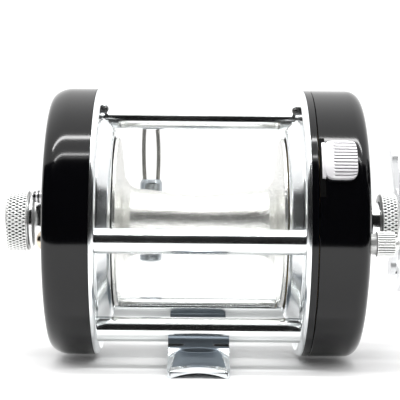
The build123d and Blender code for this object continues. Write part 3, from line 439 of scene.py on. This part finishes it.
print("nodes without a finish:", sorted(set(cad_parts) - dressed_nodes))

# %% [markdown]
# ## Frame discs
# Each disc is a thin chromed pressing: a bright rounded rim, a flat web that the plate covers, and
# a cone that dips in towards the spool. A turned section shows all of it, and the rim's rounding
# is what draws the white ring beside each black plate.

# %% Frame discs
disc_section = soften([
    (23.9, 31.5), (24.1, 32.4), (24.75, 32.97), (25.4, 33.0), (25.4, 31.1), (26.4, 31.1),
    (26.4, 24.3), (22.2, 21.5), (21.0, 21.5), (21.0, 22.6), (21.5, 23.5), (24.2, 25.9),
    (25.3, 25.3), (25.3, 30.5),
], 0.35, loop=True)
for side, word in ((-1, "left"), (1, "right")):
    disc = turned(f"{word} disc", disc_section, side=side, sides=256, loop=True)
    dressed(disc, "frame", chrome_dish, f"{word}_frame_disc")
print("disc section points:", len(disc_section))

# %% [markdown]
# ## Side plates
# The plates are deep spun cups with a soft outer corner, sprayed black. The corner is an ellipse
# on the click side and a tighter round on the gear side, with a chrome-free ring and a fine groove
# before it. The hub on the gear side swells under the bearing cap.


# %% Side plates
def corner(x_end, depth, height, steps=14):
    """Quarter ellipse from the plate's wall to its face."""
    t = np.linspace(0, math.pi / 2, steps)
    return list(zip(x_end - depth + depth * np.sin(t), PLATE_R - height + height * np.cos(t)))


left_section = soften([(25.42, 31.6), (25.42, 32.98)], 0.1).tolist()
left_section += [(25.6, PLATE_R), (26.2, PLATE_R)]
left_section += corner(LEFT_FACE, 5.1, 3.2)
left_section += [(LEFT_FACE, 29.0), (LEFT_FACE, 12.0), (LEFT_FACE, 7.0), (34.7, 7.0), (34.7, 29.5)]
left_section += [(33.5, 30.8), (31.0, 31.4)]
left_plate = turned("Left plate", left_section, side=-1, sides=256, loop=True)
dressed(left_plate, "frame", black_lacquer, "left_side_plate")

ring = soften([(25.42, 31.25), (25.42, 33.0), (26.95, 33.0), (26.95, 31.25)], 0.18, loop=True)
dressed(turned("Gear-side ring", ring, sides=256, loop=True), "frame", black_lacquer, "right_ring")

right_section = [(27.13, 31.4), (27.13, 32.85), (27.28, PLATE_R), (28.0, PLATE_R)]
right_section += corner(RIGHT_FACE, 3.3, 3.3)
right_section += [(RIGHT_FACE, 29.5), (RIGHT_FACE, 13.2), (39.2, 12.4), (40.3, 9.3), (41.6, 7.7)]
right_section += [(42.3, 7.0), (42.6, 6.4), (42.6, 4.62), (37.5, 4.62), (37.5, 12.5), (37.5, 30.5)]
right_section += [(36.3, 31.4)]
right_plate = turned("Right plate", right_section, sides=256, loop=True)
dressed(right_plate, "frame", black_lacquer, "right_side_plate")
print("plates and ring made")

# %% [markdown]
# ## Pillars
# Four chromed bars tie the discs together. Small rounded shoulders catch a dark line where each
# meets its disc.

# %% Pillars
pillars = {
    "rear_pillar": ((-29.2, -3.0), 2.95),
    "lower_rear_pillar": ((-16.0, -24.9), 2.95),
    "lower_front_pillar": ((17.5, -23.3), 2.7),
    "top_pillar": ((14.0, 26.0), 2.7),
}
for node, (centre, radius) in pillars.items():
    bar = soften([
        (-26.3, 0), (-26.3, 1.6), (-25.35, 1.6), (-25.35, radius - 0.3), (-24.6, radius),
        (0, radius), (24.6, radius), (25.35, radius - 0.3), (25.35, 1.6), (26.3, 1.6), (26.3, 0),
    ], 0.15)
    name = node.replace("_", " ").capitalize()
    dressed(turned(name, bar, centre, sides=96), "frame", chrome_frame, node)
print("pillars:", len(pillars))

# %% [markdown]
# ## Reel foot
# The foot is a pressing that lies in the rod's seat. Its underside is a shallow arch, its tips are
# thin, and it climbs to saddles under the two lower pillars. The top is a height over the plan: the
# profile of the middle, cut lower by two facets near each side edge. Where the middle is not cut,
# the pit attribute marks it for a painted dark reflection: its base colour is darkened.


# %% Reel foot
def foot_crown(y):
    """Height of the middle of the foot at a place along its length, with the two saddles."""
    front = [(-31, 1.9), (-30, 2.2), (-28.6, 2.65), (-21.5, 5.0), (-20.1, 5.6), (-19.4, 7.6)]
    front += [(-19.0, 8.1), (-13.8, 8.1), (-13.2, 7.8), (-11.8, 5.75)]
    rear = [(12.9, 5.75), (14.2, 9.7), (20.4, 9.9), (20.8, 9.2), (21.5, 6.0), (22.9, 5.2)]
    rear += [(28.6, 2.65), (30, 2.2), (31, 1.9)]
    places, heights = zip(*(front + rear))
    crown = np.interp(y, places, heights)
    for at, height, radius in ((-16.0, 9.3, 2.95), (17.5, 10.9, 2.7)):
        seat_radius = radius + SADDLE_LIFT
        seat = height - np.sqrt(np.maximum(seat_radius ** 2 - (y - at) ** 2, 0))
        crown = np.where(np.abs(y - at) < seat_radius, np.minimum(crown, seat), crown)
    return crown


def eased_max(a, b, ease):
    """The larger of two heights, with the edge between them rounded over a depth of ease."""
    return (a + b + np.sqrt((a - b) ** 2 + ease ** 2)) / 2


def foot_surface():
    """z = min(crown + lens, max(upper facet, lower facet)) over the plan, and an arch below.

    The upper facet falls towards the tip, the lower one towards the side edge. The lens is a
    small step across the middle: its two edges bow apart by 1 - (x / 4.6)^2.
    """
    y = np.concatenate([
        np.linspace(-31, -30.2, 14), np.linspace(-30.1, -12, 170), np.linspace(-11.5, 12, 20),
        np.linspace(12.2, 30.1, 130), np.linspace(30.2, 31, 14),
    ])[:, None]
    tip = np.clip((FOOT_END - np.abs(y)) / 1.6, 0, 1)
    half = FOOT_TIP_HALF + (FOOT_HALF - FOOT_TIP_HALF) * np.sqrt(1 - (1 - tip) ** 2)
    share = np.sin(np.linspace(-math.pi / 2, math.pi / 2, 101))[None, :]
    x = share * half
    crown = foot_crown(y) + 0 * x
    past = np.abs(y) - np.where(y < 0, FRONT_SADDLE, REAR_SADDLE)
    bow = np.clip(1 - (x / LENS_HALF) ** 2, 0, 1)
    step = np.interp(past, [1.0, 1.8, 2.0, 2.25, 5.5], [0, 0.55, 0.55, -0.5, 0])
    upper = 6.15 + np.where(past < 0.7, 4.0, 1.5) * (0.7 - past) + 0 * x
    lower = np.interp(past, [3.3, 9.8, 11.8], [3.4, 1.9, 1.75]) + 0.7 * (half - np.abs(x))
    facet = eased_max(upper, lower, 0.3)
    top = -eased_max(-crown - step * bow, -facet, 0.12)
    arch = FOOT_ARCH * (1 - share ** 2)
    top = top + np.clip((past - 8.0) / 3.8, 0, 1) * (arch - 0.5)
    bottom = 0.02 + arch + 0 * y
    top = np.maximum(top, bottom + 0.7)
    # Painted dark reflection: the uncut middle of the top, short of the tips, is marked in the pit
    # attribute and the finish darkens its base colour.
    plain = facet - (crown + step * bow)
    painted_dark_reflection = np.clip(plain / 0.25, 0, 1) * np.clip((10.4 - past) / 0.5, 0, 1)
    over = np.stack([x, y + 0 * x, top], axis=-1)
    under = np.stack([x, y + 0 * x, bottom], axis=-1)[:, ::-1]
    section = np.concatenate([over, under], axis=1)
    pit = np.concatenate([painted_dark_reflection, 0 * painted_dark_reflection], axis=1)
    ends = [section[i].mean(axis=0) + 0 * section[i][None] for i in (0, -1)]
    grid = np.concatenate([ends[0], section, ends[1]])
    return grid, np.concatenate([0 * pit[:1], pit, 0 * pit[:1]])


foot_grid, foot_reflection_paint = foot_surface()
foot = skin("Foot", foot_grid, sharp=24, pit=foot_reflection_paint)
dressed(foot, "frame", chrome_foot, "reel_foot")
print("foot faces:", len(foot.data.polygons))

# %% [markdown]
# ## Spool
# One turned piece: an arbor that narrows to the middle, cones that open to the flanges, and a
# thicker rolled rim. The corners are soft, as blasting leaves them.

# %% Spool
half = [
    (0, 6.72), (1.6, 6.86), (15.9, 8.35), (17.2, 9.0), (18.7, 11.3), (19.75, 20.3), (20.0, 20.95),
    (20.9, 21.0), (20.9, 19.6), (20.5, 18.8), (19.6, 12.0), (20.9, 7.5), (25.6, 5.0),
    (25.6, 1.52),
]
spool_section = [(-x, radius) for x, radius in reversed(half[1:])] + half
spool_points = soften(spool_section, 0.45, loop=True)
spool = turned("Spool", spool_points, sides=224, loop=True)
dressed(spool, "spool", spool_metal, "spool")
print("spool points round its section:", len(spool_points))

# %% [markdown]
# ## Bearing caps
# The caps are gripped by the fingers, so their rims carry a diamond knurl. Two families of
# helical ridges cross on the cylinder. In the section (x, angle) each family is a triangle wave,
# and the lower one wins, which leaves a diamond-shaped pit in every mesh of the net.


# %% Knurls
def triangle(phase):
    """Triangle wave: 0 on whole numbers, 1 half way between them."""
    return 1 - np.abs(2 * (phase - np.floor(phase)) - 1)


def diamond_knurl(start, end, around=51, pitch=1.72, depth=0.34):
    def carve(x, angle):
        turns = angle / TURN * around
        crossing = np.minimum(triangle(turns + x / pitch), triangle(turns - x / pitch))
        pit = np.clip(1.7 * crossing - 0.35, 0, 1)
        return np.where((x > start) & (x < end), depth * pit, 0)

    return carve


def straight_knurl(start, end, around, depth):
    def carve(x, angle):
        groove = 1 - np.minimum(1, 1.7 * triangle(angle / TURN * around))
        return np.where((x > start) & (x < end), depth * groove, 0)

    return carve


def cap_outline(start, length, radius, bore):
    """Cap with a plain lip, a knurled band, a chamfer and a shallow domed end."""
    end = start + length
    band = [(x, radius) for x in np.linspace(start + 0.35, end - 0.35, 40)]
    outline = [(end - 0.5, 0), (end - 0.5, bore), (start, bore), (start, radius - 0.3)]
    outline += band
    outline += [(end, radius - 0.35), (end + 0.02, radius - 0.7), (end + 0.1, radius - 1.0)]
    outline += [(end + 0.5, radius - 1.7), (end + 0.72, radius - 2.8), (end + 0.8, radius - 4.2)]
    return outline + [(end + 0.8, 0)]


for word, side, start, length in (("left", -1, 42.2, 5.4), ("right", 1, 44.8, 4.3)):
    carve = diamond_knurl(start + 0.4, start + length - 0.4)
    outline = cap_outline(start, length, CAP_R, CAP_BORE)
    cap = turned(f"{word} cap", outline, side=side, sides=408, carve=carve, sharp=60)
    dressed(cap, f"{word}_cap", chrome_knurl, f"{word}_bearing_cap")
print("cap faces:", len(cap.data.polygons))

# %% [markdown]
# ## Bosses
# The chrome neck under each cap. On the click side it flares out over the plate like a bell.

# %% Bosses
left_boss = soften([
    (33.5, 3.22), (33.5, 8.5), (34.65, 8.5), (34.65, 6.95), (36.35, 6.95), (36.35, 11.0),
    (36.8, 10.95), (41.2, 6.65), (42.0, 6.6),
    (42.0, 5.6), (46.4, 5.6), (46.4, 3.22),
], 0.25, loop=True)
dressed(turned("Left boss", left_boss, side=-1, loop=True), "frame", chrome_boss, "left_boss")
right_boss = soften([
    (36.5, 3.22), (36.5, 6.4), (37.45, 6.4), (37.45, 4.6), (42.65, 4.6), (42.65, 5.4),
    (44.6, 5.4), (44.6, 5.2), (48.2, 5.2), (48.2, 3.22),
], 0.2, loop=True)
dressed(turned("Right boss", right_boss, loop=True), "frame", chrome_boss, "right_boss")

# %% [markdown]
# ## Take-apart screws
# Three small screws hold the gear side on. One is for the fingers, with a collar, a straight knurl
# and a little turned button at its end. The other two keep the low slotted heads of the CAD model.

# %% Take-apart screw for the fingers
angle = math.radians(THUMB_SCREW_TURN)
centre = (-THUMB_SCREW_CIRCLE * math.cos(angle), THUMB_SCREW_CIRCLE * math.sin(angle))
band = [(x, 2.95) for x in np.linspace(41.1, 44.7, 8)]
outline = [(25.5, 0), (25.5, 1.3), (39.2, 1.3), (39.2, 2.25), (39.5, 2.35), (40.55, 2.5)]
outline += [(40.7, 2.6), (40.85, 2.95)] + band + [(44.95, 2.8), (45.0, 2.5), (45.0, 1.6)]
outline += [(45.6, 1.6), (45.9, 1.4), (46.0, 1.1), (46.0, 0)]
carve = straight_knurl(40.9, 44.8, 30, 0.24)
screw = turned("Thumb screw", outline, centre, sides=240, carve=carve, sharp=50)
dressed(screw, "take_apart_1", chrome_knurl, "thumb_screw_1")
print("thumb screw faces:", len(screw.data.polygons))

# %% [markdown]
# ## Clutch button
# A curved plate that hugs the gear-side wall. Eleven ridges run along it for the thumb. Its grid
# runs along X and round the spool axis, and its height follows a rounded-rectangle mask, so the
# plate has soft corners and a rolled edge.


# %% Clutch button
def clutch_button(x_low, x_high, low_angle, high_angle, base, top):
    """Pad over a cylinder.

    Each grid line keeps its share of the length and of the arc, and the corners are drawn in
    by a super-ellipse, x^4 + y^4 = 1. The radius rises from the base to the top over the rim,
    and then drops between ridges.
    """
    share = np.sin(np.linspace(-math.pi / 2, math.pi / 2, 90))
    along, across = np.meshgrid(share, np.linspace(-1, 1, 221), indexing="ij")
    squeeze = 1 - 0.16 * (along ** 4) * (across ** 4)
    u, v = along * squeeze, across * squeeze
    edge = np.maximum(np.abs(along), np.abs(across))
    x = (x_low + x_high) / 2 + (x_high - x_low) / 2 * u
    angle = (low_angle + high_angle) / 2 + (high_angle - low_angle) / 2 * v
    rise = np.clip((1 - edge) / 0.05, 0, 1)
    radius = base + (top - base) * np.sqrt(1 - (1 - rise) ** 2)
    ridged = np.clip((x - x_low - 2.0) / 0.5, 0, 1) * np.clip((0.94 - np.abs(across)) / 0.03, 0, 1)
    groove = 1 - np.minimum(1, 2.0 * triangle((across + 1) / 2 * 12))
    # The groove depth also becomes the pit attribute, where the finish paints shade.
    pit = ridged * groove * (rise > 0.99)
    radius = radius - 0.42 * pit
    turn = np.radians(angle)
    upper = np.stack([x, -radius * np.cos(turn), AXIS_Z + radius * np.sin(turn)], axis=-1)
    low = base + np.zeros_like(radius)
    lower = np.stack([x, -low * np.cos(turn), AXIS_Z + low * np.sin(turn)], axis=-1)
    return np.concatenate([upper, lower[::-1]]), np.concatenate([pit, 0 * pit])


def arc_block(name, x_ends, radii, angles, steps=24):
    """Bent bar: a rectangle in (x, radius) carried round the spool axis between two angles."""
    turn = np.radians(np.linspace(*angles, steps))[:, None]
    x = np.array([x_ends[0], x_ends[1], x_ends[1], x_ends[0]]) + 0 * turn
    radius = np.array([radii[0], radii[0], radii[1], radii[1]]) + 0 * turn
    grid = np.stack([x, -radius * np.cos(turn), AXIS_Z + radius * np.sin(turn)], axis=-1)
    caps = [grid[i].mean(axis=0) + 0 * grid[i][None] for i in (0, -1)]
    return skin(name, np.concatenate([caps[0], grid, caps[1]]))


button_grid, ridge_pits = clutch_button(28.1, 35.8, 20.0, 36.6, 33.25, 34.4)
button = skin(
    "Clutch button", button_grid, wrap_rows=True, wrap_columns=False, sharp=50, pit=ridge_pits
)
dressed(button, "button", chrome_satin, "thumb_button")
tab = arc_block("Clutch tab", (27.65, 28.45), (29.15, 33.8), (20.6, 36.0))
dressed(tab, "button", chrome_satin)
# A near-black sheet in the slot round the button stands in for the shade inside it: a painted
# shadow.
window = arc_block("Clutch window", (27.2, 28.45), (32.9, 33.03), (13.2, 39.3))
dressed(window, "frame", gap_black)
print("button faces:", len(button.data.polygons))

# %% [markdown]
# ## Click button and cover screws
# The click button is a ribbed cone beside the left boss. Three domed, brass-tinted screws hold the
# click-side plate.

# %% Click button and cover screws
ribs = [(34.9, 0), (34.9, 1.05), (36.45, 1.05)]
for i in range(4):
    low = 36.45 + 0.93 * i
    radius = 1.85 * (1 - 0.1 * i)
    foot_of_rib = radius - 0.3
    ribs += [(low, foot_of_rib), (low + 0.08, radius), (low + 0.55, radius)]
    ribs += [(low + 0.62, foot_of_rib)]
ribs += [(40.15, 0.9), (40.2, 0)]
click = turned("Ribbed button", soften(ribs, 0.06), CLICK, side=-1, sides=64)
dressed(click, "click", dark_steel)
for number in range(3):
    angle = math.radians(-10.2 + 120 * number)
    centre = (-COVER_SCREW_CIRCLE * math.cos(angle), COVER_SCREW_CIRCLE * math.sin(angle))
    t = np.linspace(0, math.pi / 2, 12)
    head = [(LEFT_FACE, 0), (LEFT_FACE + 0.02, COVER_SCREW_R), (LEFT_FACE + 0.25, COVER_SCREW_R)]
    head += list(zip(LEFT_FACE + 0.3 + 1.78 * np.sin(t), 2.28 * np.cos(t) ** 0.8))
    nodes = ["left_plate_screws"] if number == 0 else []
    screw = turned(f"Cover screw {number + 1}", head, centre, side=-1, sides=72)
    dressed(screw, "frame", screw_brass, *nodes)
print("click button and cover screws made")

# %% [markdown]
# ## Line carriage and guide
# The carriage is a barrel that stands on the shield tube, with a cross boss, a chamfered top and a
# domed cap underneath. The guide is one spring-steel wire bent into a bowed loop.

# %% Line carriage and guide
at = (CARRIAGE_X, WORM[0])
barrel = soften([(-10.5, 0), (-10.5, 3.0), (3.0, 3.0), (9.2, 3.0), (10.2, 2.5), (10.2, 0)], 0.2)
dressed(upright("Carriage barrel", barrel, at), "guide", chrome_guide)
boss = soften([(-15.9, 3.56), (-15.9, 4.9), (-9.9, 4.9), (-9.9, 3.56)], 0.3, loop=True)
boss_piece = turned("Carriage boss", boss, WORM, sides=96, loop=True)
dressed(boss_piece, "guide", chrome_guide, "line_carriage")
under = [(-12.1, 0), (-12.05, 1.5), (-11.85, 2.5), (-11.5, 2.95), (-11.2, 3.0), (-10.52, 3.0)]
under += [(-10.52, 0)]
dressed(upright("Pawl cap", under, at), "guide", chrome_guide, "pawl_cap")


def guide_path(spread=1.78, bow=0.3, top=28.2, foot=8.7, lean=10.0, steps=90):
    """Half the loop is a leg that bows out and closes over an arch; the other half mirrors it."""
    t = np.linspace(0, 1, steps)
    height = foot + (top - foot) * np.sin(t * math.pi / 2)
    share = np.clip((height - 10.2) / (top - 10.2), 0, 1)
    reach = spread * np.cos(t * math.pi / 2) ** 0.42 + bow * np.sin(share * math.pi)
    reach = reach * np.minimum(1, (1 - t) * 12)
    back = WORM[0] - lean * share ** 1.5
    leg = np.stack([CARRIAGE_X + reach, back, height], axis=-1)
    other = leg[::-1][1:].copy()
    other[:, 0] = 2 * CARRIAGE_X - other[:, 0]
    return np.concatenate([leg, other])


loop = swept("Guide loop", guide_path(), WIRE_R, (0, 1, 0))
dressed(loop, "guide", wire_steel, "guide_wires")
print("carriage and guide made")

# %% [markdown]
# ## Handle knobs
# Two waisted knobs, turned from black moulding.

# %% Handle knobs
arm_turn = math.radians(ARM_TURN)
for number, sign in ((1, 1), (2, -1)):
    reach = sign * KNOB_REACH
    centre = (DRIVE[0] + reach * math.cos(arm_turn), DRIVE[1] + reach * math.sin(arm_turn))
    t = np.linspace(0, 1, 40)
    body = 5.6 + 2.5 * t ** 1.6 + 0.7 * np.cos(t * math.pi * 1.3) * (1 - t)
    body = np.minimum(body, 8.15 * np.sqrt(np.clip(1 - ((t - 0.8) / 0.215) ** 2 * (t > 0.8), 0, 1)))
    outline = [(61.4, 2.06), (61.4, 5.6)] + list(zip(61.6 + 22.2 * t[:-2], body[:-2]))
    outline += [(84.0, 2.4), (84.0, 0), (83.0, 0), (83.0, 2.06)]
    knob = turned(f"Handle knob {number}", outline, centre, sides=96, loop=True)
    dressed(knob, f"knob_{number}", black_grip, f"handle_knob_{number}")
print("knobs made")

# %% [markdown]
# ## Table, light and camera
# White table, white surroundings, two thin strip lights above and a black flag in front. The flag
# is what gives chrome its dark bands: only reflections see it. Lacquer shows the strips as two
# fine lines near the top.


# %% Table and flag
def stage_sheet(name, grid, color, rough):
    sheet = skin(name, grid, wrap_columns=False)
    finish = Finish(name, color, rough, Specular_IOR_Level=0.2)
    finish.rough(rough + finish.grain(40.0).between(0.3, 0.8) * 0.1)
    sheet.data.materials.append(finish.material)
    return sheet


wide = np.linspace(-1600, 1600, 3)
xs, ys = np.meshgrid(wide, wide, indexing="ij")
stage_sheet("Table", np.stack([xs, ys, xs * 0], axis=-1), (0.93, 0.93, 0.93), 0.6)
FLAG_REACH, FLAG_SIDE, FLAG_BOTTOM, FLAG_TOP, FLOOR_GAP = 170.0, 105, -14, 51.5, 0.4
heading, height = np.meshgrid(
    np.radians(np.linspace(-FLAG_SIDE, FLAG_SIDE, 64)),
    np.radians(np.linspace(FLAG_BOTTOM, FLAG_TOP, 50)), indexing="ij",
)
# A plate's edge turns towards the side, and there a reflection rises by (1 + cos(heading)) / 2
# of what it does in front. The flag narrows in step, so its reflection has level edges.
turn = np.arcsin(np.sin(height) * (1 + np.cos(heading)) / 2)
floor_reach = (AXIS_Z - FLOOR_GAP) / np.sin(np.maximum(-turn, 0.01))
reach = np.where(turn < 0, np.minimum(FLAG_REACH, floor_reach), FLAG_REACH)
flag = stage_sheet("Black flag", np.stack([
    reach * np.cos(turn) * np.sin(heading), -reach * np.cos(turn) * np.cos(heading),
    AXIS_Z + reach * np.sin(turn),
], axis=-1), (0.0, 0.0, 0.0), 1.0)
for ray in ("camera", "diffuse", "shadow", "transmission", "volume_scatter"):
    setattr(flag, f"visible_{ray}", False)

# %% Surroundings
world = bpy.data.worlds.new("Light tent")
bpy.context.scene.world = world
world.use_nodes = True
tree = world.node_tree
background = tree.nodes["Background"]
background.inputs["Color"].default_value = (1.0, 1.0, 1.0, 1.0)
split = tree.nodes.new("ShaderNodeSeparateXYZ")
tree.links.new(tree.nodes.new("ShaderNodeTexCoord").outputs["Generated"], split.inputs[0])
rear = tree.nodes.new("ShaderNodeMapRange")
rear.inputs["From Min"].default_value = -0.3
rear.inputs["From Max"].default_value = 0.5
rear.inputs["To Min"].default_value = 0.98
rear.inputs["To Max"].default_value = 1.14
tree.links.new(split.outputs["Y"], rear.inputs["Value"])
above = tree.nodes.new("ShaderNodeMapRange")
above.interpolation_type = "SMOOTHSTEP"
above.inputs["From Min"].default_value = 0.4
above.inputs["To Max"].default_value = 0.5
tree.links.new(split.outputs["Z"], above.inputs["Value"])
total = tree.nodes.new("ShaderNodeMath")
tree.links.new(rear.outputs[0], total.inputs[0])
tree.links.new(above.outputs[0], total.inputs[1])
tree.links.new(total.outputs[0], background.inputs["Strength"])


def strip_light(name, elevation, width, radiance, reach=500.0, length=900.0):
    """Thin area light along X, in front of the reel at an elevation in degrees."""
    area = length * width * MM * MM
    lamp = bpy.data.lights.new(name, "AREA")
    lamp.shape = "RECTANGLE"
    lamp.size, lamp.size_y = length * MM, width * MM
    lamp.energy = radiance * math.pi * area
    body = bpy.data.objects.new(name, lamp)
    turn = math.radians(elevation)
    body.location = (0, -reach * MM * math.cos(turn), (AXIS_Z + reach * math.sin(turn)) * MM)
    body.rotation_euler = (turn - math.pi / 2, 0, 0)
    bpy.context.scene.collection.objects.link(body)
    return body


strip_light("Upper strip", 75.5, 30.0, 24.0)
strip_light("Lower strip", 58.8, 22.0, 24.0)

# %% Camera
camera_data = bpy.data.cameras.new("Camera")
camera_data.lens = 120.0
camera_data.sensor_width = 36.0
camera_data.clip_start = 0.01
camera = bpy.data.objects.new("Camera", camera_data)
bpy.context.scene.collection.objects.link(camera)
EYE_X, EYE_Y, EYE_ABOVE_AXIS = -2.2, -333.2, 16.1
camera.location = (EYE_X * MM, EYE_Y * MM, (AXIS_Z + EYE_ABOVE_AXIS) * MM)
pitch, yaw, roll = (math.radians(value) for value in (-1.81, 0.40, 0.57))
level = Euler((math.pi / 2 + pitch, 0, -yaw)).to_matrix()
camera.rotation_euler = (level @ Matrix.Rotation(roll, 3, "Z")).to_euler()
bpy.context.scene.camera = camera
bpy.context.scene.view_settings.view_transform = "Standard"
print("camera", tuple(round(value, 4) for value in camera.location))
